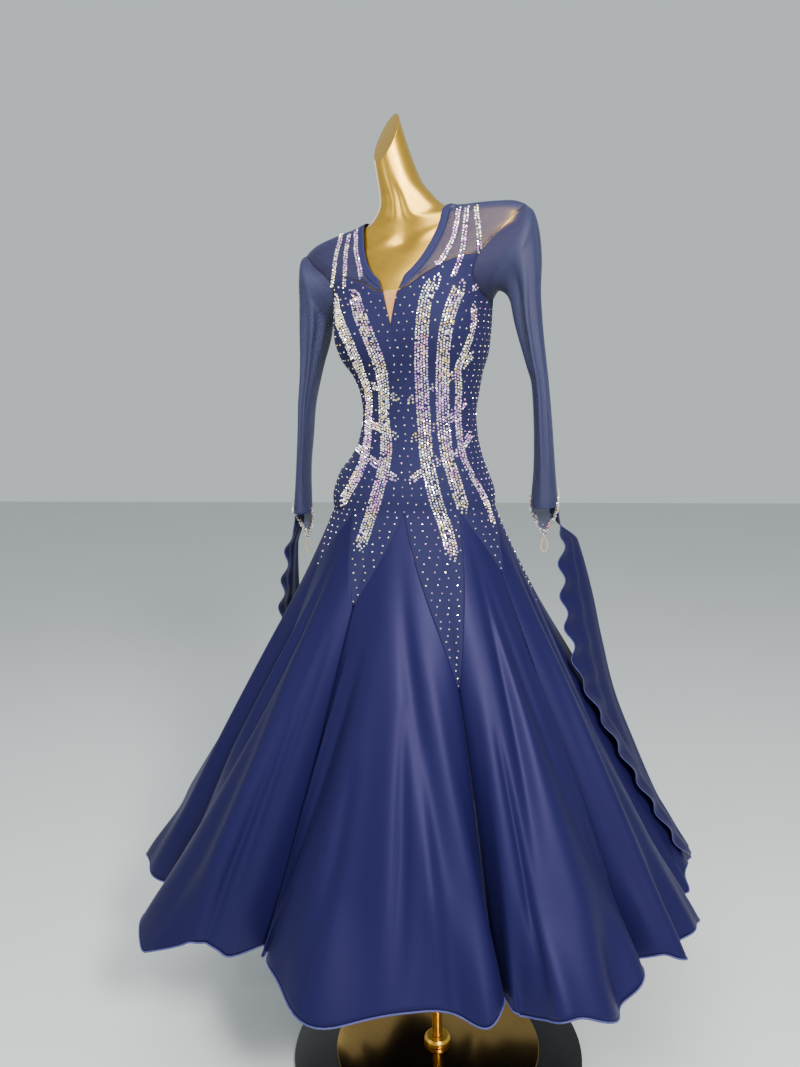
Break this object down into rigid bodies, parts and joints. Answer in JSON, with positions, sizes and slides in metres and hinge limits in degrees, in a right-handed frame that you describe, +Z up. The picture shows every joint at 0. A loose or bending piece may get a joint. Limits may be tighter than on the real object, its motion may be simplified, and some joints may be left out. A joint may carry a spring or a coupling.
{
  "type": "ballroom dance dress on a dress form",
  "caption": "Long-sleeved ballroom dance dress with a V neck, a fitted bodice with pointed tongues and a full godet skirt, on a limbless dress form with a pole and a round base.",
  "frame": {"origin": "centre of the underside of the round base disc", "axes": "+Z up along the pole, -Y towards somebody who looks at the front of the dress, +X to that person's right"},
  "size_m": [1.1047, 0.9292, 1.8134],
  "materials": {
    "form_gold": "gold plated, glossy",
    "bodice_navy": "matt stretch crepe",
    "satin_navy": "soft satin",
    "mesh_navy": "sheer stretch mesh",
    "insert_nude": "sheer mesh",
    "elastic_beige": "round elastic",
    "plate_gold": "polished",
    "disc_black": "gloss black"
  },
  "bodies": {
    "root": {"base_disc": "disc_black", "base_plate": "plate_gold", "bodice_back": "bodice_navy", "bodice_front": "bodice_navy", "finger_loop_left": "elastic_beige", "finger_loop_right": "elastic_beige", "float_left": "satin_navy", "float_right": "satin_navy", "form_body": "form_gold", "form_collar": "form_gold", "form_pole": "form_gold", "godet_back_left": "satin_navy", "godet_back_right": "satin_navy", "godet_front": "satin_navy", "godet_front_left": "satin_navy", "godet_front_right": "satin_navy", "godet_rear_left": "satin_navy", "godet_rear_right": "satin_navy", "godet_side_left": "satin_navy", "godet_side_right": "satin_navy", "neck_band": "mesh_navy", "neck_insert": "insert_nude", "sleeve_left": "mesh_navy", "sleeve_right": "mesh_navy", "yoke_back": "mesh_navy", "yoke_front_left": "mesh_navy", "yoke_front_right": "mesh_navy"}
  },
  "joints": []
}
